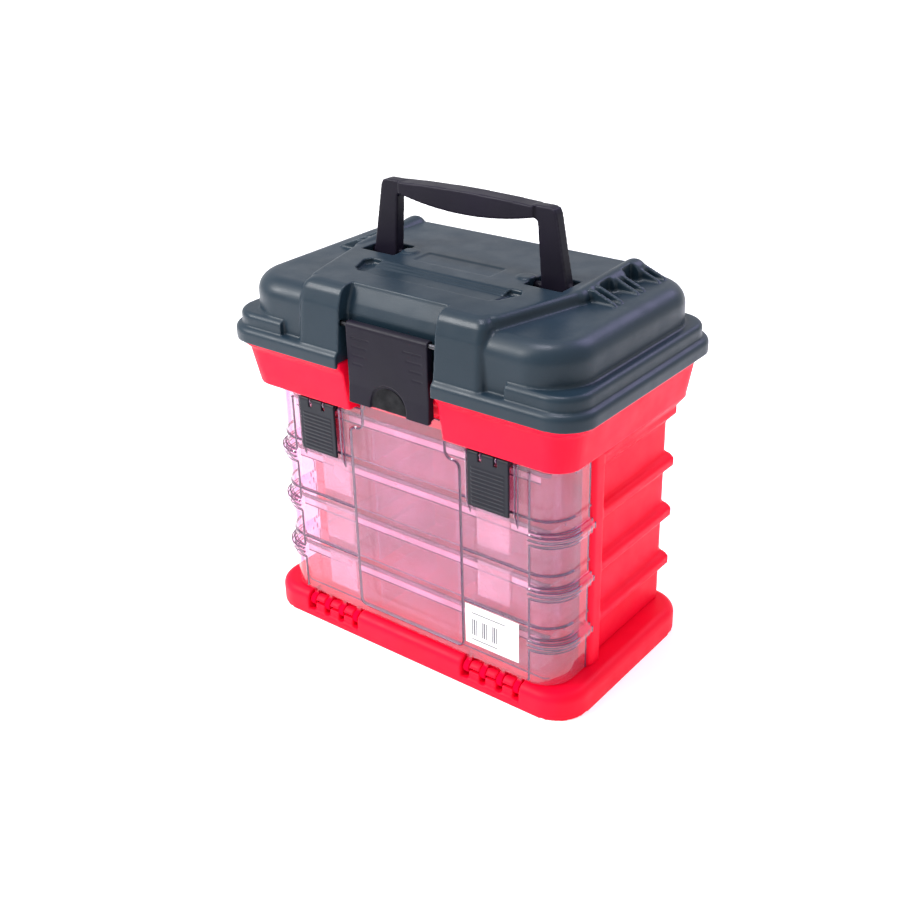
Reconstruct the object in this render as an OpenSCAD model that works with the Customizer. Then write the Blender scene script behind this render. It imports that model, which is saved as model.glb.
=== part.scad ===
// Fishing tackle box: a moulded case with a rack of lidded trays behind a clear drop-down
// door, and a bulk bay on top under a hinged lid with a carrying handle and a front latch.
// +Z is up, -Y is the front, and the origin is on the ground at the middle of the box.

/* [Case] */
// Width across the side walls of the case
case_w = 219; // [185:1:264]
// Depth from the door's face to the back of the case
case_d = 136; // [114:1:164]
// Wall thickness of the case
wall = 3; // [2.2:0.1:3.6]
// Height of the base flange
base_h = 18; // [16:0.5:22]
// How far the base flange stands out past the side walls
base_out = 16.5; // [13:0.5:20]
// Height of the bulk bay above the tray rack
bay_h = 34; // [30:1:45]

/* [Trays] */
// Height from one tray to the next
tray_pitch = 37; // [35:0.5:45]
// Height of a tray without its lid
tray_h = 30.8; // [26:0.1:32]
// Wall thickness of the trays
tray_wall = 1.8; // [1.4:0.1:2.2]
// Gap between a tray and the case beside it
tray_gap = 3; // [2.4:0.1:3.6]
// Width of the runner that carries a tray
runner_w = 6.5; // [5.5:0.1:7]
// Thickness of the removable dividers
divider_t = 1.5; // [1:0.1:2.2]

/* [Door] */
// Thickness of the clear door
door_t = 2.5; // [2:0.1:3]
// How far the door wraps round the sides of the trays
door_wrap = 34.5; // [28:0.5:41]
// Width of a door latch
door_latch_w = 29.5; // [24:0.5:34]
// Height of a door latch
door_latch_h = 37; // [30:0.5:44]
// Width of a door hinge
door_hinge_w = 46; // [38:1:54]
// Radius of the pins that the door turns on
door_pin_r = 2; // [1.6:0.1:2.4]

/* [Lid] */
// Height of the lid above the rim of the case
lid_h = 47; // [42:1:56]
// Wall thickness of the lid
lid_t = 2.6; // [2.2:0.1:3.1]
// Height of the raised platform above the ends of the lid
platform_up = 7; // [6:0.5:8.5]
// Width of one lid hinge
lid_hinge_w = 40; // [32:1:48]
// Radius of the steel lid hinge pins
lid_pin_r = 1.5; // [1.2:0.1:1.8]

/* [Latch and handle] */
// Width of the main latch
latch_w = 62; // [52:1:74]
// Height of the main latch
latch_h = 52; // [48:1:54]
// Thickness of the main latch plate
latch_t = 2.6; // [2.2:0.1:3.1]
// Radius of the steel pin of the main latch
latch_pin_r = 1.5; // [1.2:0.1:1.8]
// Width of the handle across its feet
handle_w = 149; // [124:1:152]
// Height of the handle's top above its pivot
handle_h = 49.5; // [42:0.5:58]
// Thickness of a handle leg, front to back
handle_leg_t = 8; // [7:0.5:9]
// Radius of the studs that the handle turns on
handle_stud_r = 2.6; // [2.2:0.1:3]

/* [Hidden] */
$fn = 48;
tray_count = 4;
eps = 0.02;

// Clearances
fit = 0.06;            // running fit of a pin in its bore, on the radius
gap = 0.5;             // between pieces that move past each other
seat = 0.2;            // between pieces that rest on each other

// Case
hw = case_w / 2;
y_front = -case_d / 2;
y_back = case_d / 2;
case_r = 8;            // rounded rear corners of the rack
post_out = 6;          // how far posts and ribs stand out of the side walls
post_len = 14;
base_edge = 6;         // rounding of the base flange's top edge
base_r = 23;
base_x = hw + base_out;
base_y0 = y_front - base_edge;
base_y1 = y_back + base_edge;
z_top = base_h + tray_count * tray_pitch + 6;   // underside of the bulk bay's floor
z_rim = z_top + bay_h;
band_z = z_rim - 9;    // underside of the rim bead's chamfer

// Lid hinge, then the rim and the lid's lip, which set the whole depth
lid_knuckle_r = 4;
lip_out = 3;
rim_y1 = y_back + 8.5;
lid_axis_y = rim_y1 + lid_knuckle_r + gap;
lid_axis_z = z_rim - 3;
lid_hinge_x = hw - 45;
lip_y0 = -(lid_axis_y + lid_knuckle_r);
lip_y1 = rim_y1 + lip_out;
rim_y0 = lip_y0 + lip_out;
rim_x = hw + 22.5;
rim_r = 19;
lip_x = rim_x + lip_out;
lip_drop = 3;
lip_top = z_rim + 7;
bead_top = lip_top + 9;

// Door
hinge_z = base_h - base_edge;
hinge_x = hw - 42.5;
lug_w = 4;
lug_pitch = (door_hinge_w - lug_w - 3) / 3;
saddle_w = lug_pitch - lug_w - 2 * gap;
lug_r = door_pin_r + 2.4;
door_top = z_top - gap;
door_bottom = base_h + gap;
door_x = hw + 4;
door_r = 20;
seam_x = door_x - door_r;
wrap_y = y_front + door_wrap;
post_y0 = wrap_y + gap;
door_latch_x = hw - 42;
panel_x = door_latch_x - door_latch_w / 2 - 9;
panel_up = 1.2;
ledge_out = 4.5;
line_up = 0.8;

// Door latches, hinged at their top edge
dl_r = 2.3;
dl_pin_r = 1;
dl_t = 1.8;
dl_y = y_front - dl_r - gap;
dl_z = door_top - dl_r - 1;
dl_slot = 2.6;         // width of the slots that the door's tabs stand in
dl_slot_x = door_latch_w * 0.19;

// Lid
lid_top = z_rim + lid_h;
dome_top = lid_top - platform_up;
dome_x = lip_x - 11.5;
dome_y0 = lip_y0 + 7.5;
dome_y1 = lip_y1 - 5;
dome_r = 30;
dome_edge = 12;
bridge_x = hw - 38.5;
bridge_y0 = lip_y0 + 2;
ridge_x = hw - 24;
ridge_y1 = dome_y1 - 13;

// Main latch
latch_y = lip_y0 + 5;
latch_r = 3.2;         // knuckle
latch_top = lid_top - 19;
latch_bottom = latch_top - latch_h;
latch_axis_y = latch_y + latch_r;
latch_axis_z = latch_top - latch_r;
recess_x = latch_w / 2 + 5.5;
recess_y = latch_axis_y + latch_r + 2;
tab_x = recess_x - 3.5;
tab_top = latch_bottom - gap;
tab_recess_y = y_front + door_t + gap;
catch_z = latch_bottom + 12;
catch_r = 2.2;

// Handle
handle_y = 2;
handle_z = lid_top - 4.5;
leg_w = 13;
foot_w = 18.5;
grip_h = 7.5;
grip_t = 12;
pocket_y0 = handle_y - handle_leg_t / 2 - 9.7;
pocket_y1 = handle_y + handle_leg_t / 2 + 4;
pocket_x0 = handle_w / 2 - foot_w - 6;
pocket_x1 = handle_w / 2 + 2;
pocket_z = handle_z - handle_leg_t / 2 - gap;
stud_len = 4;
well_x = 51;           // finger well in front of the grip, with a deeper pit at each end
well_y0 = handle_y - 48;
well_y1 = handle_y - 26;
well_depth = 2.5;
pit_depth = 3.8;
knob_r = 8;            // rounded rear end of the ridge beside the handle

// Trays
tray_z0 = base_h + 1;
tray_x = hw - wall - tray_gap;
tray_y0 = y_front + 7;
tray_y1 = y_back - wall - 3;
tray_r = 6;
tray_mid = (tray_y0 + tray_y1) / 2;
runner_t = 1.8;
runner_up = tray_h - runner_t;
runner_y0 = y_front + 24;
tray_lid_t = 1.8;
snap_w = 24;
snap_x = door_latch_x - 4;
snap_t = 2;
function tray_z(i) = tray_z0 + (i - 1) * tray_pitch;

// ---- shapes that repeat ----

// Rectangle with round corners, from -x to x and from y0 to y1
module round_rect(x, y0, y1, r) {
    translate([-x + r, y0]) square([2 * x - 2 * r, y1 - y0]);
    translate([-x, y0 + r]) square([2 * x, y1 - y0 - 2 * r]);
    for (cx = [-x + r, x - r], cy = [y0 + r, y1 - r]) translate([cx, cy]) circle(r);
}

module slab(x, y0, y1, r, z0, z1) {
    translate([0, 0, z0]) linear_extrude(z1 - z0) round_rect(x, y0, y1, r);
}

module rod(r, x0, x1, y, z) {
    translate([x0, y, z]) rotate([0, 90, 0]) cylinder(r = r, h = x1 - x0);
}

// A wall section w wide and h high, with its outer top edge rounded by e
module edge_profile(w, h, e) {
    square([w - e, h]);
    square([w, h - e]);
    translate([w - e, h - e]) circle(e);
}

// A slab whose top edge is rounded by e all round
module soft_slab(x, y0, y1, r, z0, z1, e) {
    h = z1 - z0;
    box(-x + r, x - r, y0 + r, y1 - r, z0, z1);
    for (cx = [-x + r, x - r], cy = [y0 + r, y1 - r])
        translate([cx, cy, z0]) rotate_extrude() edge_profile(r, h, e);
    both_sides() translate([x - r, y1 - r, z0]) rotate([90, 0, 0])
        linear_extrude(y1 - y0 - 2 * r) edge_profile(r, h, e);
    translate([x - r, y0 + r, z0]) rotate([0, 0, -90]) rotate([90, 0, 0])
        linear_extrude(2 * (x - r)) edge_profile(r, h, e);
    translate([-x + r, y1 - r, z0]) rotate([0, 0, 90]) rotate([90, 0, 0])
        linear_extrude(2 * (x - r)) edge_profile(r, h, e);
}

// A thin round-cornered layer, for hulls
module layer(x, y0, y1, r, z) {
    translate([0, 0, z]) linear_extrude(eps, $fn = 32) round_rect(x, y0, y1, r);
}

module box(x0, x1, y0, y1, z0, z1) {
    translate([x0, y0, z0]) cube([x1 - x0, y1 - y0, z1 - z0]);
}

// An outline drawn in (y, z) and carried from x0 to x1
module along_x(x0, x1) {
    translate([x0, 0, 0]) rotate([90, 0, 90]) linear_extrude(x1 - x0) children();
}

module both_sides() {
    children();
    mirror([1, 0, 0]) children();
}

// ---- case ----

case_red = [0.92, 0.12, 0.19];

module case_base() {
    color(case_red) {
        difference() {
            base_flange();
            both_sides() box(hinge_x - door_hinge_w / 2, hinge_x + door_hinge_w / 2,
                             base_y0 - 1, y_front + 7, hinge_z - 7, base_h + 1);
        }
        both_sides() door_saddles();
    }
}

module rack_frame() {
    color(case_red) difference() {
        rack_walls();
        runner_channels();
    }
}

module bulk_bay() {
    color(case_red) {
        difference() {
            bay_shell();
            case_latch_recess();
        }
        case_lid_knuckles();
        rod(catch_r, -latch_w / 2, latch_w / 2, recess_y + 0.4, catch_z);
    }
}

module base_flange() {
    difference() {
        soft_slab(base_x, base_y0, base_y1, base_r, 0, base_h, base_edge);
        difference() {
            slab(base_x - wall, base_y0 + wall, base_y1 - wall, base_r - wall, -1, base_h - wall);
            both_sides() box(hinge_x - door_hinge_w / 2 - wall, hinge_x + door_hinge_w / 2 + wall,
                             base_y0, y_front + 7 + wall, -2, base_h);
            both_sides() box(hw / 3 - 1, hw / 3 + 1, base_y0, base_y1, -2, base_h);
        }
    }
}

module rack_walls() {
    difference() {
        union() {
            slab(hw, post_y0 - 40, y_back, case_r, base_h, z_top);
            slab(hw + post_out, post_y0, post_y0 + post_len, 4, base_h, z_top);
            for (i = [1 : tray_count]) both_sides() side_rib(tray_z(i) + runner_up);
            hull() {
                layer(hw - 1, post_y0 + 4, y_back - 1, case_r, z_top - 18);
                layer(hw + 13, post_y0 + 4, y_back + 4, case_r + 4, z_top - eps);
            }
        }
        slab(hw - wall, post_y0 - 60, y_back - wall, case_r - wall, base_h - 2, z_top + 2);
        box(-hw - 30, hw + 30, post_y0 - 60, post_y0, base_h - 1, z_top + 2);
    }
}

// A rib along the side, over the channel that a tray's runner rides in
module side_rib(z) {
    x0 = hw - wall / 2;
    translate([0, y_back - 2, 0]) rotate([90, 0, 0])
        linear_extrude(y_back - 4 - post_y0) polygon([
            [x0, z + 7], [hw + post_out / 2, z + 5.6], [hw + post_out - 0.6, z + 3.4],
            [hw + post_out - 0.6, z - 1.6], [x0, z - 9]]);
}

module runner_channels() {
    for (i = [1 : tray_count])
        box(-tray_x - runner_w - gap, tray_x + runner_w + gap, post_y0 - 1, tray_y1 + 1,
            tray_z(i) + runner_up - seat, tray_z(i) + tray_h + seat);
}

module bay_shell() {
    difference() {
        union() {
            hull() {
                layer(rim_x - 9, rim_y0 + 7, rim_y1 - 4, rim_r - 3, z_top);
                layer(rim_x - 4.5, rim_y0 + 3.5, rim_y1 - 2.5, rim_r - 2, band_z);
            }
            hull() {
                layer(rim_x - 6.5, rim_y0 + 5.5, rim_y1 - 4.5, rim_r - 2, band_z - 2);
                layer(rim_x, rim_y0, rim_y1, rim_r, z_rim - 5);
                layer(rim_x, rim_y0, rim_y1, rim_r, z_rim - eps);
            }
        }
        difference() {
            hull() {
                layer(rim_x - 9 - wall, rim_y0 + 7 + wall, rim_y1 - 4 - wall, rim_r - 6, z_top + wall);
                layer(rim_x - 4 - wall, rim_y0 + 4 + wall, rim_y1 - 3 - wall, rim_r - 6, z_rim + eps);
            }
            box(-recess_x - wall, recess_x + wall, rim_y0, recess_y + wall, z_top, z_rim + 1);
            box(-recess_x - wall, recess_x + wall, rim_y0, tab_recess_y + wall, z_top,
                tab_top + gap + 3 + wall);
        }
    }
}

// The recess that the main latch closes into, deeper below, where the door's tab stands
module case_latch_recess() {
    box(-recess_x, recess_x, rim_y0 - 1, recess_y, z_top - 1, z_rim + 1);
    box(-recess_x, recess_x, rim_y0 - 1, tab_recess_y, z_top - 1, tab_top + gap + 3);
}

module door_saddles() {
    for (k = [-1 : 1]) difference() {
        x0 = hinge_x + k * lug_pitch - saddle_w / 2;
        union() {
            rod(lug_r, x0, x0 + saddle_w, y_front, hinge_z);
            box(x0, x0 + saddle_w, y_front - lug_r, y_front + 7 + 1, hinge_z - 8, hinge_z);
        }
        rod(door_pin_r + fit, x0 - 1, x0 + saddle_w + 1, y_front, hinge_z);
        box(x0 - 1, x0 + saddle_w + 1, y_front - lug_r - 1, y_front,
            hinge_z - door_pin_r * 0.6, hinge_z + door_pin_r * 0.6);
    }
}

// Where the knuckles of one lid hinge lie, as [start, end] along x
case_knuckle_w = 8;
function case_knuckles() = [
    [lid_hinge_x - lid_hinge_w / 2, lid_hinge_x - lid_hinge_w / 2 + case_knuckle_w],
    [lid_hinge_x + lid_hinge_w / 2 - case_knuckle_w, lid_hinge_x + lid_hinge_w / 2]];

module case_lid_knuckles() {
    both_sides() for (s = case_knuckles()) difference() {
        union() {
            rod(lid_knuckle_r, s[0], s[1], lid_axis_y, lid_axis_z);
            box(s[0], s[1], rim_y1 - 2, lid_axis_y, lid_axis_z - lid_knuckle_r, lid_axis_z - gap);
        }
        rod(lid_pin_r + eps, s[0] - 1, s[1] + 1, lid_axis_y, lid_axis_z);
    }
}

// ---- lid ----

module lid() {
    color([0.25, 0.31, 0.35]) {
        difference() {
            union() {
                soft_slab(lip_x, lip_y0, lip_y1, rim_r + lip_out, z_rim - lip_drop, lip_top, 4);
                difference() {
                    soft_slab(lip_x - 4, lip_y0 + 4, lip_y1 - 4, rim_r, lip_top - 2, bead_top, 3.5);
                    box(-ridge_x, ridge_x, lip_y0 - 1, dome_y0 + 4, lip_top, bead_top + 1);
                }
                soft_slab(dome_x, dome_y0, dome_y1, dome_r, z_rim + 1, dome_top, dome_edge);
                lid_bridge();
                lid_platform();
                both_sides() {
                    lid_ridge();
                    lid_gussets();
                    translate([pocket_x0 - 5, handle_y - 3, lid_top - 1]) cylinder(r = 5.5, h = 2.2);
                }
            }
            lid_hollow();
            lid_latch_recess();
            both_sides() {
                handle_pocket();
                for (y = [handle_y + 9.5, handle_y + 34.5])
                    box(ridge_x + 2, ridge_x + 12, y, y + 11.5, dome_top - 0.8, lid_top + 6);
            }
            finger_well();
            translate([-4, 0, 0]) slab(30, handle_y - 14, handle_y + 3, 2, lid_top - 0.7, lid_top + 1);
            both_sides() for (s = case_knuckles())
                rod(lid_knuckle_r + gap, s[0] - gap, s[1] + gap, lid_axis_y, lid_axis_z);
        }
        both_sides() lid_knuckle();
    }
}

// The middle of the front, which stands forward of the lid's ends
module lid_bridge() {
    hull() {
        layer(bridge_x, bridge_y0, 0, 5, z_rim);
        layer(bridge_x - 1, bridge_y0 + 4, 0, 5, dome_top - 6);
        for (a = [0 : 22.5 : 90])
            layer(bridge_x - 1 - 6 * (1 - cos(a)), bridge_y0 + 6 + 8 * (1 - cos(a)), 0, 5,
                  lid_top - 8 + 8 * sin(a) - eps);
    }
}

// The raised platform, narrow at the front and wide behind the handle
module platform_outline(e) {
    for (s = [-1, 1]) {
        translate([s * (bridge_x - 7), bridge_y0 + 22]) circle(8 - e);
        translate([s * (ridge_x - 8), handle_y - 6]) circle(10 - e);
        translate([s * (ridge_x - 8), ridge_y1 - 10]) circle(10 - e);
    }
}

module lid_platform() {
    hull() for (a = [0 : 22.5 : 90])
        translate([0, 0, lid_top - 4 + 4 * sin(a) - eps])
            linear_extrude(eps, $fn = 32) platform_outline(4 * (1 - cos(a)));
    hull() for (z = [dome_top - 2, lid_top - 4])
        translate([0, 0, z]) linear_extrude(eps, $fn = 32) platform_outline((lid_top - 4 - z) / -3);
}

// A ridge beside the handle that rises to a rounded knob at the back
module lid_ridge() {
    hull() {
        translate([ridge_x - 1.5, handle_y - 6, lid_top - 5]) sphere(5.4, $fn = 32);
        translate([ridge_x + 0.5, ridge_y1 - knob_r + 0.5, lid_top - knob_r + 4]) sphere(knob_r, $fn = 32);
    }
}

// The well steps up to the platform along its back
module finger_well() {
    for (k = [0 : 2])
        slab(well_x, well_y0, well_y1 - 3 * (2 - k), 1.5 + k / 2, lid_top - well_depth + 0.9 * k, lid_top + 1);
    both_sides() translate([0, 0, lid_top - pit_depth]) linear_extrude(pit_depth + 1) polygon([
        [well_x - 2, well_y0 + 2], [well_x + 3, well_y0 + 3], [well_x + 9, well_y1 - 4],
        [well_x + 6, well_y1 + 1], [well_x - 2, well_y1 + 1]]);
}

// Pairs of ribs that run down from the platform onto the ends of the lid
gusset_t = 2.4;
module lid_gussets() {
    for (y = [handle_y - 2, handle_y + 23, handle_y + 48], d = [0, 7])
        translate([0, y + d + gusset_t, 0]) rotate([90, 0, 0]) linear_extrude(gusset_t) polygon([
            [ridge_x - 4, dome_top - 2], [ridge_x - 4, lid_top], [ridge_x + 5, lid_top + 0.4],
            [ridge_x + 20, dome_top + 1.4], [ridge_x + 21, dome_top - 2]]);
}

module lid_hollow() {
    slab(rim_x + gap, rim_y0 - gap, rim_y1 + gap, rim_r + gap, z_rim - lip_drop - 1, z_rim + seat);
    difference() {
        union() {
            slab(dome_x - lid_t, dome_y0 + lid_t, dome_y1 - lid_t, dome_r - lid_t,
                 z_rim, dome_top - dome_edge);
            slab(dome_x - dome_edge * 0.6, dome_y0 + dome_edge * 0.6, dome_y1 - dome_edge * 0.6,
                 dome_r - dome_edge * 0.6, z_rim, dome_top - lid_t - 1);
            slab(bridge_x - 9, bridge_y0 + 26, ridge_y1 - 8, 6, z_rim, lid_top - lid_t - pit_depth);
        }
        box(-recess_x - 6, recess_x + 6, lip_y0, recess_y + lid_t, z_rim - 1, lid_top);
        both_sides() box(pocket_x0 - stud_len - 1.5, pocket_x1 + stud_len + 1.5, pocket_y0 - lid_t,
                         pocket_y1 + lid_t, pocket_z - lid_t, lid_top);
    }
}

module lid_latch_recess() {
    along_x(-recess_x, recess_x) polygon([
        [lip_y0 - 1, z_rim - lip_drop - 1], [recess_y, z_rim - lip_drop - 1], [recess_y, latch_top + 2],
        [recess_y + 2, latch_top + 8], [recess_y + 6.5, lid_top - 1], [recess_y + 6.5, lid_top + 1],
        [lip_y0 - 1, lid_top + 1]]);
    rod(latch_pin_r + eps, -recess_x - 4, recess_x + 4, latch_axis_y, latch_axis_z);
}

module handle_pocket() {
    box(pocket_x0, pocket_x1, pocket_y0, pocket_y1, pocket_z, lid_top + 1);
    rod(handle_stud_r + fit, pocket_x0 - stud_len, pocket_x1 + stud_len, handle_y, handle_z);
}

module lid_knuckle() {
    x0 = case_knuckles()[0][1] + gap;
    x1 = case_knuckles()[1][0] - gap;
    difference() {
        union() {
            rod(lid_knuckle_r, x0, x1, lid_axis_y, lid_axis_z);
            box(x0, x1, rim_y1 + gap, lid_axis_y, lid_axis_z, lip_top - 3);
        }
        rod(lid_pin_r + fit, x0 - 1, x1 + 1, lid_axis_y, lid_axis_z);
    }
}

module lid_hinge_pins() {
    color("silver") both_sides()
        rod(lid_pin_r, lid_hinge_x - lid_hinge_w / 2, lid_hinge_x + lid_hinge_w / 2,
            lid_axis_y, lid_axis_z);
}

// ---- handle ----

module handle() {
    color([0.16, 0.16, 0.18]) {
        handle_plate(handle_leg_t) both_sides() handle_leg();
        handle_plate(grip_t) handle_grip();
        both_sides() {
            rod(handle_leg_t / 2, handle_w / 2 - foot_w, handle_w / 2, handle_y, handle_z);
            rod(handle_stud_r, pocket_x0 - stud_len + gap, pocket_x1 + stud_len - gap,
                handle_y, handle_z);
        }
    }
}

// An outline drawn in (x, z above the pivot) and made t thick about the handle's middle plane
module handle_plate(t) {
    translate([0, handle_y + t / 2, handle_z]) rotate([90, 0, 0]) linear_extrude(t) children();
}

module handle_leg() {
    x_foot = handle_w / 2;
    x_top = x_foot - 8.5;
    polygon([[x_foot, 0], [x_top, handle_h - 4], [x_top - 1.5, handle_h - 1], [x_top - 5, handle_h],
             [x_top - leg_w - 3, handle_h], [x_top - leg_w - 5, handle_h - grip_h + 1],
             [x_top - leg_w, handle_h - grip_h - 2], [x_foot - foot_w, 0]]);
}

// The grip hangs deeper in the middle, between two wide arcs
module handle_grip() {
    x = handle_w / 2 - 8.5 - leg_w - 2;
    sag = 6;
    r = (x * x + sag * sag) / (2 * sag);
    intersection() {
        translate([0, handle_h - grip_h - sag + r]) circle(r, $fn = 180);
        translate([0, handle_h + 1 - 4 * r]) circle(4 * r, $fn = 360);
        translate([-x, 0]) square([2 * x, handle_h + 2]);
    }
}

// ---- main latch ----

module main_latch() {
    x = latch_w / 2;
    color([0.17, 0.17, 0.19]) {
        difference() {
            union() {
                along_x(-x, x) polygon([
                    [latch_y, latch_axis_z], [latch_y + latch_t, latch_axis_z],
                    [latch_y + latch_t, latch_bottom], [latch_y - 0.8, latch_bottom],
                    [latch_y, latch_bottom + 12]]);
                rod(latch_r, -x, x, latch_axis_y, latch_axis_z);
                along_x(-x + 8, x - 8) polygon([
                    [latch_y + latch_t - 1, catch_z - catch_r - 1],
                    [recess_y + 0.4 - catch_r - 0.35, catch_z - catch_r - 2],
                    [recess_y + 0.4 - catch_r - 0.35, catch_z - catch_r - 3.5],
                    [latch_y + latch_t - 1, catch_z - catch_r - 6]]);
                for (s = [-1, 1])
                    box(s * (x - 1) - 1, s * (x - 1) + 1, latch_y + 1, latch_y + latch_t + 2.4,
                        latch_bottom + 2, latch_axis_z);
            }
            rod(latch_pin_r + fit, -x - 1, x + 1, latch_axis_y, latch_axis_z);
            thumb_scoop();
            for (k = [0 : 3], s = [-1, 1])
                box(s * (x - 11 + k) - 7 + k, s * (x - 11 + k) + 7 - k, latch_y - 1, latch_y + 0.4,
                    latch_top - 10 - 5.5 * k, latch_top - 9 - 5.5 * k);
        }
    }
}

// A shallow half-round scoop in the bottom of the latch for a thumb
module thumb_scoop() {
    intersection() {
        translate([0, latch_y - 9.6, latch_bottom]) rotate([-75, 0, 0])
            translate([0, 0, -10]) cylinder(r = 14, h = 26);
        box(-20, 20, latch_y - 3, latch_y + 1.1, latch_bottom - 1, latch_bottom + 24);
    }
}

module main_latch_pin() {
    color("silver") rod(latch_pin_r, -recess_x - 4 + gap, recess_x + 4 - gap, latch_axis_y, latch_axis_z);
}

// ---- front door ----

module front_door() {
    color([0.85, 0.75, 0.8, 0.5]) {
        difference() {
            union() {
                intersection() {
                    difference() {
                        union() {
                            slab(door_x, y_front, wrap_y + 60, door_r, door_bottom, door_top);
                            for (i = [1 : tray_count - 1]) both_sides() {
                                door_ledge(tray_z(i) + runner_up);
                                door_line(tray_z(i + 1) + 5);
                            }
                        }
                        slab(door_x - door_t, y_front + door_t, wrap_y + 70, door_r - door_t,
                             door_bottom - 1, door_top + 1);
                        box(-door_x - 9, door_x + 9, wrap_y, wrap_y + 80, 0, door_top + 1);
                    }
                    rod(door_top - hinge_z, -door_x - 9, door_x + 9, y_front, hinge_z, $fn = 180);
                }
                box(-tab_x, tab_x, y_front, y_front + door_t, door_top - 3, tab_top);
                translate([0, y_front + 1, 0]) rotate([90, 0, 0])
                    linear_extrude(panel_up + 1) panel_outline();
                both_sides() {
                    door_latch_ribs();
                    box(seam_x - 0.6, seam_x + 0.6, y_front - line_up, y_front + 1,
                        door_bottom + 2, door_top - 6);
                }
            }
            both_sides() rod(dl_pin_r + eps, door_latch_x - door_latch_w / 2 - 1,
                             door_latch_x + door_latch_w / 2 + 1, dl_y, dl_z);
        }
        both_sides() door_lugs();
    }
}

// The raised middle of the door, drawn in (x, z), with round shoulders below the tab
module panel_outline() {
    shoulder = door_top - 14;
    r = (panel_x - tab_x) / 2 - 0.5;
    round_rect(panel_x, door_bottom + 6, shoulder, r);
    translate([-tab_x, shoulder - r]) square([2 * tab_x, tab_top - shoulder + r]);
    both_sides() difference() {
        translate([tab_x - 1, shoulder - 1]) square([r + 1, r + 1]);
        translate([tab_x + r, shoulder + r]) circle(r);
    }
}

// A ledge round the door's corner, outside a tray's runner
module door_ledge(z) {
    intersection() {
        union() {
            slab(door_x + ledge_out, y_front - ledge_out / 2, wrap_y + 60, door_r + 2, z - 1, z + 3);
            slab(door_x + ledge_out / 2, y_front - ledge_out / 4, wrap_y + 60, door_r + 1, z - 5, z + 5);
        }
        box(seam_x, door_x + 10, y_front - 10, wrap_y + 70, z - 6, z + 6);
    }
}

// A fine raised line from the middle panel round the corner, where two trays meet
module door_line(z) {
    intersection() {
        slab(door_x + line_up, y_front - line_up, wrap_y + 60, door_r + line_up, z - 0.6, z + 0.6);
        box(panel_x + 1, door_x + 10, y_front - 10, wrap_y + 70, z - 1, z + 1);
    }
}

module door_lugs() {
    for (k = [-1.5 : 1 : 1.5]) {
        x0 = hinge_x + k * lug_pitch - lug_w / 2;
        rod(lug_r, x0, x0 + lug_w, y_front, hinge_z);
        box(x0, x0 + lug_w, y_front, y_front + door_t, hinge_z, door_bottom + 1);
    }
    rod(door_pin_r, hinge_x - 1.5 * lug_pitch, hinge_x + 1.5 * lug_pitch, y_front, hinge_z);
}

// Ribs beside a latch, and the tabs that its pin passes through
module door_latch_ribs() {
    x0 = door_latch_x - door_latch_w / 2 - 2;
    x1 = door_latch_x + door_latch_w / 2 + 2;
    for (x = [x0 - 1.4, x1]) along_x(x, x + 1.4) polygon([
        [y_front + 1, door_top - 3], [y_front - 3, door_top - 3],
        [y_front - 3, door_top - door_latch_h], [y_front + 1, door_top - door_latch_h - 12]]);
    for (s = [-1, 1]) {
        x = door_latch_x + s * dl_slot_x;
        along_x(x - dl_slot / 2 + gap, x + dl_slot / 2 - gap) {
            translate([dl_y, dl_z]) circle(dl_r);
            translate([dl_y, dl_z - dl_r]) square([dl_r + gap + 1, 2 * dl_r]);
        }
    }
}

module door_latch(s) {
    x = door_latch_w / 2;
    color([0.15, 0.16, 0.18]) translate([s * door_latch_x, 0, 0]) difference() {
        union() {
            rod(dl_r, -x, x, dl_y, dl_z);
            box(-x, x, dl_y - dl_r, dl_y - dl_r + dl_t, dl_z - door_latch_h + dl_r, dl_z);
            for (k = [0 : 9])
                box(-x + 3, x - 3, dl_y - dl_r - 0.3, dl_y, dl_z - 9 - 2.6 * k, dl_z - 8 - 2.6 * k);
            box(-x + 2, x - 2, dl_y - dl_r, y_front - line_up - gap,
                dl_z - door_latch_h + dl_r, dl_z - door_latch_h + dl_r + 3);
        }
        rod(dl_pin_r + fit, -x - 1, x + 1, dl_y, dl_z);
        for (t = [-1, 1]) box(t * dl_slot_x - dl_slot / 2, t * dl_slot_x + dl_slot / 2,
                              dl_y - dl_r - 1, dl_y + dl_r + 1, dl_z - dl_r - 1.6, dl_z + dl_r + 1);
    }
}

module door_latch_left() {
    door_latch(-1);
}

module door_latch_right() {
    door_latch(1);
}

module door_latch_pins() {
    x = door_latch_w / 2;
    color("silver") both_sides() rod(dl_pin_r, door_latch_x - x, door_latch_x + x, dl_y, dl_z);
}

module price_sticker() {
    color("white") box(panel_x + 1.5, panel_x + 42.5, y_front - 0.25, y_front, base_h + 12, base_h + 41);
}

// ---- trays ----

module tray(i) {
    color([0.85, 0.8, 0.85, 0.6]) translate([0, 0, tray_z(i)]) {
        difference() {
            slab(tray_x, tray_y0, tray_y1, tray_r, 0, tray_h);
            slab(tray_x - tray_wall, tray_y0 + tray_wall, tray_y1 - tray_wall, tray_r - tray_wall,
                 tray_wall, tray_h + 1);
        }
        box(-tray_x + 1, tray_x - 1, tray_mid - tray_wall / 2, tray_mid + tray_wall / 2, 1, tray_h - 2);
        both_sides() box(tray_x - 1, tray_x + runner_w, runner_y0, tray_y1 - 3, runner_up, tray_h);
    }
}

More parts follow.
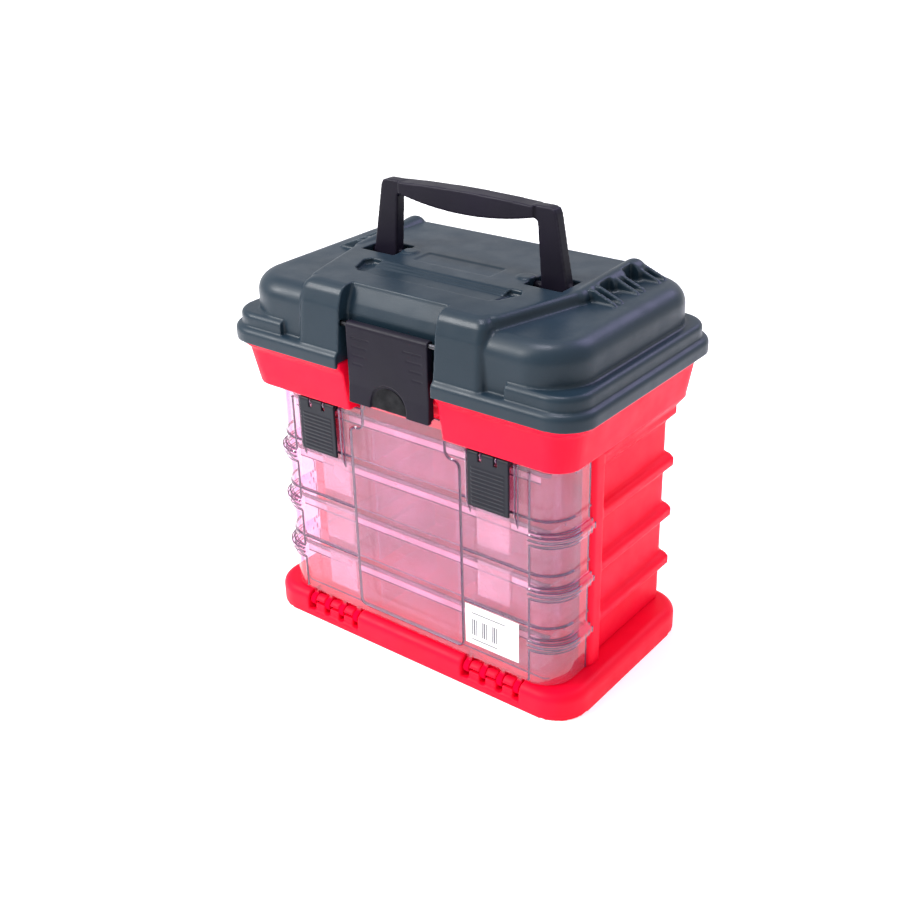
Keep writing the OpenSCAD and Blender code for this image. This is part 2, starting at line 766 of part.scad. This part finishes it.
module tray_lid(i) {
    color([0.9, 0.85, 0.9, 0.5]) translate([0, 0, tray_z(i) + tray_h]) difference() {
        union() {
            slab(tray_x, tray_y0, tray_y1, tray_r, 0, tray_lid_t);
            slab(tray_x - tray_wall - seat, tray_y0 + tray_wall + seat, tray_y1 - tray_wall - seat,
                 tray_r - tray_wall - seat, -1.6, 0.5);
        }
        slab(tray_x - 2 * tray_wall, tray_y0 + 2 * tray_wall, tray_y1 - 2 * tray_wall,
             tray_r - 2 * tray_wall, -2, 0.6);
    }
}

// Removable plates that stand between the tray's middle wall and its front and back
divider_front = [-0.32, 0.32];
divider_back = [0];
module dividers(i) {
    y_gap = 0.3;
    color([0.9, 0.88, 0.92]) translate([0, 0, tray_z(i)]) {
        for (f = divider_front)
            box(f * tray_x - divider_t / 2, f * tray_x + divider_t / 2, tray_y0 + tray_wall + y_gap,
                tray_mid - tray_wall / 2 - y_gap, tray_wall, tray_h - 3);
        for (f = divider_back)
            box(f * tray_x - divider_t / 2, f * tray_x + divider_t / 2, tray_mid + tray_wall / 2 + y_gap,
                tray_y1 - tray_wall - y_gap, tray_wall, tray_h - 3);
    }
}

// The two snap catches that hold a tray's lid shut
module tray_latches(i) {
    z = tray_h + tray_lid_t;
    color([0.95, 0.93, 0.95]) translate([0, 0, tray_z(i)]) both_sides() {
        box(snap_x - snap_w / 2, snap_x + snap_w / 2, tray_y0 - snap_t, tray_y0, 8, z + 1.2);
        box(snap_x - snap_w / 2, snap_x + snap_w / 2, tray_y0 - snap_t, tray_y0 + 3, z, z + 1.2);
    }
}

case_base();
rack_frame();
bulk_bay();
lid();
lid_hinge_pins();
handle();
main_latch();
main_latch_pin();
front_door();
door_latch_left();
door_latch_right();
door_latch_pins();
price_sticker();
tray(1);  // tray_1
tray(2);  // tray_2
tray(3);  // tray_3
tray(4);  // tray_4
tray_lid(1);  // tray_lid_1
tray_lid(2);  // tray_lid_2
tray_lid(3);  // tray_lid_3
tray_lid(4);  // tray_lid_4
dividers(1);  // dividers_1
dividers(2);  // dividers_2
dividers(3);  // dividers_3
dividers(4);  // dividers_4
tray_latches(1);  // tray_latches_1
tray_latches(2);  // tray_latches_2
tray_latches(3);  // tray_latches_3
tray_latches(4);  // tray_latches_4
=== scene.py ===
"""Looks of the fishing tackle box: moulded plastics, clear door and trays, label, light, camera."""

import math

import bmesh
import bpy
from mathutils import Matrix, Vector


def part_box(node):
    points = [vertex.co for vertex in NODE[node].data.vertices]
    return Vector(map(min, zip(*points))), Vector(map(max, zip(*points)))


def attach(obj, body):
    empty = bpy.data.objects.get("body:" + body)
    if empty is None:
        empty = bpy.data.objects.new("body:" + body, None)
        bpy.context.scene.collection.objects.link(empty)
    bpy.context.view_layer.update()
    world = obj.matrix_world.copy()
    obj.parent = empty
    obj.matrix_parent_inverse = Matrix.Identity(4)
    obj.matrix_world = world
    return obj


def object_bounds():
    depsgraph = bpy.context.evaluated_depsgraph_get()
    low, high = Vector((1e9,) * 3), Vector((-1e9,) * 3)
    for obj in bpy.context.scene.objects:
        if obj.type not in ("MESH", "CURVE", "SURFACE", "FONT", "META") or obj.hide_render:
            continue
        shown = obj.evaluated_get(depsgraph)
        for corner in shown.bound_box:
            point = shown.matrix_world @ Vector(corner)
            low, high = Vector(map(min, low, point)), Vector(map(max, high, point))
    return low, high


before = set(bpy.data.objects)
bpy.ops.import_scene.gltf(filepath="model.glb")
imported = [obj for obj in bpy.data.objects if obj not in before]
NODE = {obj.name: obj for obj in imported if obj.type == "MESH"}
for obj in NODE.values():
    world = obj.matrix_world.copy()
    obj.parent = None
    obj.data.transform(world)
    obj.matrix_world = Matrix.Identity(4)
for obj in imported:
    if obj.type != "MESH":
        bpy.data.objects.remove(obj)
cad_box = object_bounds()
MM = 0.001
TRAYS = range(1, 5)
WELD = 0.002 * MM                 # corners nearer than this are one corner
SEEN_THROUGH_RED = (0.7, 0.002, 0.03, 1)   # painted red on the clear door's hinge lugs: the red base seen through them, a shade darker


# ---- material nodes ----

def new_material(name):
    """An empty node material, as (material, its tree)."""
    material = bpy.data.materials.new(name)
    material.use_nodes = True
    material.node_tree.nodes.clear()
    return material, material.node_tree


def add(tree, kind, inputs=None, **settings):
    """A node with its settings, and its inputs as constants or as the sockets they come from."""
    node = tree.nodes.new(kind)
    for key, value in settings.items():
        setattr(node, key, value)
    for key, value in (inputs or {}).items():
        if isinstance(value, bpy.types.NodeSocket):
            tree.links.new(value, node.inputs[key])
        else:
            node.inputs[key].default_value = value
    return node


def finish_material(tree, surface, volume=None):
    """Joins the surface, and for a clear material its volume, to the output."""
    out = add(tree, "ShaderNodeOutputMaterial", {"Surface": surface})
    if volume:
        tree.links.new(volume, out.inputs["Volume"])


def place(tree):
    """Coordinates on the object itself, in metres."""
    return add(tree, "ShaderNodeTexCoord").outputs["Object"]


def noise(tree, scale, detail=3.0, stretch=None):
    """Noise from 0 to 1 with scale features to the metre, drawn out along an axis by stretch."""
    where = place(tree)
    if stretch:
        where = add(tree, "ShaderNodeMapping", {"Vector": where, "Scale": stretch}).outputs["Vector"]
    made = add(tree, "ShaderNodeTexNoise", {"Vector": where, "Scale": scale, "Detail": detail})
    return made.outputs["Fac"]


def between(tree, value, low, high, start=0.3, end=0.7):
    """value from start..end carried to low..high."""
    made = add(tree, "ShaderNodeMapRange", {
        "Value": value, "From Min": start, "From Max": end, "To Min": low, "To Max": high})
    return made.outputs["Result"]


def mix_colour(tree, share, a, b):
    """The colour a, turning into b as share goes from 0 to 1."""
    made = add(tree, "ShaderNodeMix", data_type="RGBA")
    colours = [s for s in made.inputs if s.type == "RGBA"]
    for socket, value in zip(colours, (a, b)):
        if isinstance(value, bpy.types.NodeSocket):
            tree.links.new(value, socket)
        else:
            socket.default_value = (*value, 1)
    tree.links.new(share, made.inputs["Factor"])
    return [s for s in made.outputs if s.type == "RGBA"][0]


def moulded(name, colour, shade, worn, roughness, grain, depth, gloss=0.5):
    """Injection-moulded plastic: a fine tooled grain, slow changes of tone, and paler, rubbed edges."""
    material, tree = new_material(name)
    tone = mix_colour(tree, between(tree, noise(tree, 22, 4), 0, 1), colour, shade)
    edges = add(tree, "ShaderNodeNewGeometry").outputs["Pointiness"]
    rubbed = add(tree, "ShaderNodeMath", {
        0: between(tree, edges, 0, 1, 0.52, 0.6), 1: between(tree, noise(tree, 160, 5), 0.25, 1)},
        operation="MULTIPLY").outputs["Value"]
    tone = mix_colour(tree, rubbed, tone, worn)
    rough = between(tree, noise(tree, 70, 4), roughness - 0.05, roughness + 0.07)
    fine = add(tree, "ShaderNodeBump", {
        "Height": noise(tree, grain, 2), "Strength": 0.55, "Distance": depth})
    flow = add(tree, "ShaderNodeBump", {
        "Height": noise(tree, 45, 2), "Strength": 0.25, "Distance": 0.25 * MM,
        "Normal": fine.outputs["Normal"]})
    plastic = add(tree, "ShaderNodeBsdfPrincipled", {
        "Base Color": tone, "Roughness": rough, "Normal": flow.outputs["Normal"],
        "IOR": 1.49, "Specular IOR Level": gloss})
    finish_material(tree, plastic.outputs["BSDF"])
    return material


def clear_plastic(name, haze_colour, haze, roughness, tint, density, foot=None):
    """Clear moulding: seen straight through, with a faint haze and a gloss; below foot, painted red
    with no gloss, for the red base seen through it.
    """
    material, tree = new_material(name)
    ripple = add(tree, "ShaderNodeBump", {
        "Height": noise(tree, 35, 2), "Strength": 0.3, "Distance": 0.3 * MM})
    through = add(tree, "ShaderNodeBsdfTransparent", {"Color": (1, 1, 1, 1)})
    milk = add(tree, "ShaderNodeBsdfDiffuse", {"Color": (*haze_colour, 1)})
    cloud = between(tree, noise(tree, 30, 4), haze * 0.6, haze * 1.4)
    body = add(tree, "ShaderNodeMixShader", {
        0: cloud, 1: through.outputs["BSDF"], 2: milk.outputs["BSDF"]}).outputs["Shader"]
    gloss = add(tree, "ShaderNodeBsdfAnisotropic", {
        "Color": (1, 1, 1, 1), "Roughness": roughness, "Normal": ripple.outputs["Normal"]})
    skin = add(tree, "ShaderNodeFresnel", {"IOR": 1.58, "Normal": ripple.outputs["Normal"]})
    inside = add(tree, "ShaderNodeNewGeometry").outputs["Backfacing"]
    outside = add(tree, "ShaderNodeMath", {0: 1.0, 1: inside}, operation="SUBTRACT").outputs["Value"]
    shine = add(tree, "ShaderNodeMath", {0: skin.outputs["Fac"], 1: outside},
                operation="MULTIPLY").outputs["Value"]
    if foot:
        # below foot, the clear part is painted with the red of the base seen through it
        height = add(tree, "ShaderNodeSeparateXYZ", {"Vector": place(tree)}).outputs["Z"]
        clear = between(tree, height, 0, 1, foot - 1.5 * MM, foot + 1.5 * MM)
        painted_red_behind = add(tree, "ShaderNodeBsdfDiffuse", {"Color": SEEN_THROUGH_RED}).outputs["BSDF"]
        body = add(tree, "ShaderNodeMixShader", {0: clear, 1: painted_red_behind, 2: body}).outputs["Shader"]
        shine = add(tree, "ShaderNodeMath", {0: shine, 1: clear}, operation="MULTIPLY")
        shine = shine.outputs["Value"]
    whole = add(tree, "ShaderNodeMixShader", {0: shine, 1: body, 2: gloss.outputs["BSDF"]})
    depth = add(tree, "ShaderNodeVolumeAbsorption", {"Color": (*tint, 1), "Density": density})
    finish_material(tree, whole.outputs["Shader"], depth.outputs["Volume"])
    return material


def steel_wire():
    """Dark steel pins with fine lines drawn along them."""
    material, tree = new_material("drawn_steel")
    lines = noise(tree, 900, 3, (0.05, 1, 1))
    tone = mix_colour(tree, lines, (0.05, 0.05, 0.055), (0.1, 0.1, 0.11))
    bump = add(tree, "ShaderNodeBump", {"Height": lines, "Strength": 0.3, "Distance": 0.03 * MM})
    metal = add(tree, "ShaderNodeBsdfPrincipled", {
        "Base Color": tone, "Metallic": 1.0, "Roughness": between(tree, lines, 0.25, 0.4),
        "Normal": bump.outputs["Normal"]})
    finish_material(tree, metal.outputs["BSDF"])
    return material


def paper(name, colour, shade):
    """Coated paper, or ink on it, mottled by its fibres."""
    material, tree = new_material(name)
    fibres = noise(tree, 1400, 5)
    tone = mix_colour(tree, between(tree, fibres, 0, 1), colour, shade)
    bump = add(tree, "ShaderNodeBump", {"Height": fibres, "Strength": 0.3, "Distance": 0.02 * MM})
    sheet = add(tree, "ShaderNodeBsdfPrincipled", {
        "Base Color": tone, "Roughness": between(tree, fibres, 0.45, 0.65),
        "Normal": bump.outputs["Normal"]})
    finish_material(tree, sheet.outputs["BSDF"])
    return material


RED = moulded("red_moulding", (0.9, 0.001, 0.03), (0.82, 0.001, 0.024), (0.95, 0.012, 0.06),
              0.45, 1500, 0.04 * MM, 0.12)
SLATE = moulded("slate_moulding", (0.01, 0.022, 0.034), (0.008, 0.018, 0.028), (0.035, 0.055, 0.072),
                0.36, 1900, 0.08 * MM, 0.27)
CHARCOAL = moulded("charcoal_moulding", (0.008, 0.006, 0.014), (0.006, 0.005, 0.01),
                   (0.04, 0.036, 0.052), 0.4, 2200, 0.05 * MM, 0.13)
LATCH_BLACK = moulded("latch_moulding", (0.008, 0.009, 0.016), (0.006, 0.007, 0.012),
                      (0.04, 0.042, 0.055), 0.4, 2400, 0.04 * MM, 0.22)
# the door's hinge lugs, up to 18 mm, are painted with the red of the base seen through them
DOOR = clear_plastic("clear_door", (1, 0.5, 0.74), 0.05, 0.07, (0.92, 0.55, 0.77), 190, 0.018)
TRAY = clear_plastic("clear_tray", (1, 0.6, 0.76), 0.035, 0.14, (1, 0.72, 0.84), 80)
FROSTED = clear_plastic("frosted_divider", (1, 0.82, 0.9), 0.1, 0.3, (1, 0.8, 0.88), 30)
SNAP = clear_plastic("frosted_snap", (1, 0.78, 0.84), 0.22, 0.25, (1, 0.85, 0.92), 30)
SKIRT = clear_plastic("frosted_skirt", (1, 0.76, 0.85), 0.4, 0.25, (1, 0.85, 0.92), 30)
# painted shade: dark, nearly opaque rods for the dark lines that refraction draws along the clear
# door's and trays' edges
DOOR_EDGE_SHADE = clear_plastic("door_edge_shade", (0.08, 0.03, 0.08), 0.93, 0.2, (0.9, 0.6, 0.8), 60)
TRAY_EDGE_SHADE = clear_plastic("tray_edge_shade", (0.12, 0.02, 0.07), 0.85, 0.2, (0.9, 0.6, 0.8), 60)
# painted shade: near-black sheet laid in the main latch's thumb scoop
SCOOP_SHADE = moulded("thumb_scoop_shade", (0.004, 0.004, 0.005), (0.003, 0.003, 0.004), (0.02, 0.02, 0.022),
              0.5, 2600, 0.05 * MM, 0.05)
STEEL = steel_wire()
PAPER = paper("label_paper", (0.86, 0.86, 0.87), (0.8, 0.8, 0.81))
INK = paper("label_ink", (0.12, 0.12, 0.13), (0.18, 0.18, 0.2))


# ---- shapes ----

def mould(node, voxel, rounds, keep=1.0):
    """Rounds a CAD node's edges and corners as a mould does, leaving its faces where they are.
    A finer voxel, in mm, and fewer rounds of smoothing leave sharper edges; keep is the share of
    the triangles that stay."""
    o = NODE[node]
    weld = o.modifiers.new("weld", "WELD")
    weld.merge_threshold = WELD
    skin = o.modifiers.new("skin", "REMESH")
    skin.mode = "VOXEL"
    skin.voxel_size = voxel * MM
    skin.use_smooth_shade = True
    soft = o.modifiers.new("soft", "SMOOTH")
    soft.factor = 0.5
    soft.iterations = rounds
    if keep < 1:
        thin = o.modifiers.new("thin", "DECIMATE")
        thin.ratio = keep


def ease(node, width):
    """Breaks a plain CAD node's sharp edges with a small bevel, its width in mm."""
    o = NODE[node]
    weld = o.modifiers.new("weld", "WELD")
    weld.merge_threshold = WELD
    bevel = o.modifiers.new("bevel", "BEVEL")
    bevel.width = width * MM
    bevel.segments = 2
    bevel.limit_method = "ANGLE"
    bevel.angle_limit = math.radians(50)
    bevel.harden_normals = True


def paint(node, material):
    """Gives a CAD node its one material."""
    mesh = NODE[node].data
    mesh.materials.clear()
    mesh.materials.append(material)


def add_box(mesh, low, high):
    """A box between two corners, added to a bmesh."""
    size = Vector(high) - Vector(low)
    middle = (Vector(high) + Vector(low)) / 2
    shape = Matrix.Translation(middle) @ Matrix.Diagonal((*size, 1))
    bmesh.ops.create_cube(mesh, size=1, matrix=shape)


def new_piece(name, mesh, material, body):
    """A visual piece made from a bmesh, which rides on a body."""
    data = bpy.data.meshes.new(name)
    mesh.to_mesh(data)
    mesh.free()
    data.materials.append(material)
    piece = bpy.data.objects.new(name, data)
    bpy.context.scene.collection.objects.link(piece)
    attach(piece, body)
    return piece


def edge_shade_lines(name, node, radius, material, body, foot, reach):
    """Painted shade for the dark lines that refraction draws along a clear moulding's edges: rods just
    inside each sharp outward edge above the height foot; behind the depth reach, only along the upright
    ones."""
    sharp, shortest, inset = math.radians(35), 0.1 * MM, 1.3 * radius * MM
    solid, lines = bmesh.new(), bmesh.new()
    centre = sum(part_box(node), Vector()) / 2
    solid.from_mesh(NODE[node].data)
    bmesh.ops.remove_doubles(solid, verts=solid.verts, dist=WELD)
    for edge in solid.edges:
        if len(edge.link_faces) != 2 or edge.calc_face_angle(0) < sharp:
            continue
        start, end = (v.co for v in edge.verts)
        along = end - start
        if along.length < shortest:
            continue
        inward = -(edge.link_faces[0].normal + edge.link_faces[1].normal).normalized()
        middle = (start + end) / 2
        upright = abs(along.z) > 0.9 * along.length
        if middle.z < foot or (middle.y > reach and not upright):
            continue
        if inward.xy.dot((middle - centre).xy) > 0:
            continue
        turn = along.to_track_quat("Z", "Y").to_matrix().to_4x4()
        bmesh.ops.create_cone(
            lines, segments=6, radius1=radius * MM, radius2=radius * MM, depth=along.length,
            matrix=Matrix.Translation(middle + inward * inset) @ turn)
    solid.free()
    return new_piece(name, lines, material, body)


def add_skirt(i):
    """The frosted band along the top of a tray's front, between its snap catches, and under it
    a dark line of painted shade."""
    low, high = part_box(f"tray_{i}")
    snap_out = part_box(f"tray_latches_{i}")[1].x
    inner, outer, corner = snap_out - 25 * MM, snap_out + 1 * MM, high.x - 13 * MM
    back = low.y - 0.1 * MM
    band_low, band_high, band_face = high.z - 4.4 * MM, high.z - 0.8 * MM, low.y - 0.7 * MM
    line_low, line_high, line_face = high.z - 5.4 * MM, high.z - 4.6 * MM, low.y - 0.8 * MM
    band = bmesh.new()
    for x0, x1 in ((-inner, inner), (outer, corner), (-corner, -outer)):
        add_box(band, (x0, band_face, band_low), (x1, back, band_high))
    new_piece(f"tray_skirt_{i}", band, SKIRT, f"tray_{i}_set")
    # painted shade: a dark line under the band
    line = bmesh.new()
    add_box(line, (-corner, line_face, line_low), (corner, back, line_high))
    new_piece(f"tray_lip_{i}", line, TRAY_EDGE_SHADE, f"tray_{i}_set")


def shape_case():
    for node in ("case_base", "rack_frame", "bulk_bay"):
        mould(node, 0.9, 2, 0.4)
        paint(node, RED)


def shape_lid():
    mould("lid", 0.8, 2, 0.35)
    paint("lid", SLATE)


def shape_handle_and_latches():
    mould("handle", 0.7, 3)
    mould("main_latch", 0.45, 2, 0.6)
    for node in ("handle", "main_latch"):
        paint(node, CHARCOAL)
    for node in ("door_latch_left", "door_latch_right"):
        mould(node, 0.3, 2, 0.6)
        paint(node, LATCH_BLACK)
    for node in ("lid_hinge_pins", "main_latch_pin", "door_latch_pins"):
        ease(node, 0.2)
        paint(node, STEEL)


def shape_door_and_trays():
    tray_line, door_line = 0.5, 0.47             # radius in mm
    tray_reach, door_reach = 3 * MM, 24 * MM     # how far back the level lines go
    lug_height = 11 * MM                         # the door's hinge lugs have no lines
    mould("front_door", 0.65, 1)
    paint("front_door", DOOR)
    for i in TRAYS:
        for kind, material in (("tray", TRAY), ("tray_lid", TRAY), ("dividers", FROSTED),
                               ("tray_latches", SNAP)):
            node = f"{kind}_{i}"
            ease(node, 0.3)
            paint(node, material)
        # painted shade along the clear edges of each tray and tray lid
        for kind in ("tray", "tray_lid"):
            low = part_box(f"{kind}_{i}")[0]
            edge_shade_lines(f"{kind}_edges_{i}", f"{kind}_{i}", tray_line, TRAY_EDGE_SHADE, f"tray_{i}_set",
                       low.z, low.y + tray_reach)
        add_skirt(i)
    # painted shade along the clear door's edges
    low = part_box("front_door")[0]
    edge_shade_lines("door_edges", "front_door", door_line, DOOR_EDGE_SHADE, "door",
               low.z + lug_height, low.y + door_reach)


def paint_scoop_shade():
    """A dark half-oval sheet in the latch's thumb scoop: painted shade for the hollow of the scoop."""
    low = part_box("main_latch")[0]
    half, tall, steps = 13.5 * MM, 14 * MM, 24
    foot, scoop = low.z + 1 * MM, low.y + 1.9 * MM
    proud, sunk = 0.35 * MM, 0.3 * MM
    angles = [math.pi * k / steps for k in range(steps + 1)]
    shade_sheet = bmesh.new()
    front = [shade_sheet.verts.new((half * math.cos(a), scoop - proud, foot + tall * math.sin(a)))
             for a in angles]
    back = [shade_sheet.verts.new((v.co.x, scoop + sunk, v.co.z)) for v in front]
    shade_sheet.faces.new(front)
    shade_sheet.faces.new(back[::-1])
    for k in range(len(front)):
        n = (k + 1) % len(front)
        shade_sheet.faces.new((front[n], front[k], back[k], back[n]))
    new_piece("thumb_scoop_shade", shade_sheet, SCOOP_SHADE, "main_latch")


def print_label():
    """Plain bars on the label, which stand for nothing."""
    low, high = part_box("price_sticker")
    front, back = low.y - 0.04 * MM, low.y + 0.04 * MM
    left, bars_end = low.x + 5 * MM, high.x - 14 * MM
    bars_foot, bars_top, line = low.z + 7 * MM, high.z - 10 * MM, 0.9 * MM
    widths = (0.9, 0.5, 1.4, 0.6, 0.9, 1.8, 0.5, 1.1)     # a bar, then a gap, in mm
    ink = bmesh.new()
    x, k = left, 0
    while x + widths[k % len(widths)] * MM <= bars_end:
        wide = widths[k % len(widths)] * MM
        if k % 2 == 0:
            add_box(ink, (x, front, bars_foot), (x + wide, back, bars_top))
        x += wide
        k += 1
    for z, end in ((high.z - 6 * MM, high.x - 10 * MM), (low.z + 3.4 * MM, high.x - 16 * MM)):
        add_box(ink, (left, front, z), (end, back, z + line))
    new_piece("label_bars", ink, INK, "door")
    paint("price_sticker", PAPER)


# ---- studio ----

def make_floor():
    """A plain pale sheet that glows a little, so that the box throws next to no shadow on it."""
    mesh = bmesh.new()
    bmesh.ops.create_grid(mesh, x_segments=1, y_segments=1, size=4)
    data = bpy.data.meshes.new("floor")
    mesh.to_mesh(data)
    mesh.free()
    material, tree = new_material("pale_floor")
    clouds = between(tree, noise(tree, 3, 2), 0, 1)
    tone = mix_colour(tree, clouds, (0.93, 0.93, 0.93), (0.9, 0.9, 0.9))
    ground = add(tree, "ShaderNodeBsdfPrincipled", {
        "Base Color": tone, "Roughness": 0.7,
        "Emission Color": (1, 1, 1, 1), "Emission Strength": 0.4})
    finish_material(tree, ground.outputs["BSDF"])
    data.materials.append(material)
    floor = bpy.data.objects.new("floor", data)
    bpy.context.scene.collection.objects.link(floor)


def make_light(name, where, size, power, colour, aim):
    """A soft round lamp, pointed at aim."""
    lamp = bpy.data.lights.new(name, "AREA")
    lamp.shape = "DISK"
    lamp.size = size
    lamp.energy = power
    lamp.color = colour
    light = bpy.data.objects.new(name, lamp)
    light.location = where
    light.rotation_euler = (Vector(where) - aim).to_track_quat("Z", "Y").to_euler()
    bpy.context.scene.collection.objects.link(light)


def make_studio():
    """A bright even room, with a soft sun from the front left and three lamps for the glosses."""
    middle = (cad_box[0] + cad_box[1]) / 2
    world = bpy.data.worlds.new("studio")
    world.use_nodes = True
    sky = world.node_tree.nodes["Background"]
    sky.inputs["Color"].default_value = (0.98, 0.98, 1, 1)
    sky.inputs["Strength"].default_value = 0.85
    bpy.context.scene.world = world
    sun = bpy.data.lights.new("soft_sun", "SUN")
    sun.energy, sun.angle = 1.3, math.radians(40)
    light = bpy.data.objects.new("soft_sun", sun)
    light.rotation_euler = Vector((-0.5, -0.45, 0.75)).to_track_quat("Z", "Y").to_euler()
    bpy.context.scene.collection.objects.link(light)
    make_light("key", (-0.62, -0.7, 0.75), 0.4, 9, (1, 1, 1), middle)
    make_light("top", (0.3, 0.7, 0.9), 0.6, 4, (0.62, 0.56, 1), middle)
    make_light("overhead", (-0.08, -0.06, 1.25), 0.35, 7, (0.88, 0.88, 1), middle)


def make_camera():
    """The camera that the box was seen from, a little off level."""
    around, above, roll = math.radians(38.66), math.radians(26.48), math.radians(-1.65)
    target, distance = Vector((-0.01793, 0, 0.11966)), 0.83957
    back = Vector((math.sin(around) * math.cos(above), -math.cos(around) * math.cos(above),
                   math.sin(above)))
    right = Vector((math.cos(around), math.sin(around), 0))
    up = back.cross(right)
    turned = right * math.cos(roll) + up * math.sin(roll)
    upright = up * math.cos(roll) - right * math.sin(roll)
    data = bpy.data.cameras.new("camera")
    data.sensor_width = 36
    data.lens = 50.03
    camera = bpy.data.objects.new("camera", data)
    camera.matrix_world = Matrix.Translation(target + back * distance) @ Matrix(
        (turned, upright, back)).transposed().to_4x4()
    bpy.context.scene.collection.objects.link(camera)
    bpy.context.scene.camera = camera


shape_case()
shape_lid()
shape_handle_and_latches()
shape_door_and_trays()
paint_scoop_shade()
print_label()
make_floor()
make_studio()
make_camera()
scene = bpy.context.scene
scene.view_settings.view_transform = "Standard"
scene.cycles.transparent_max_bounces = 32
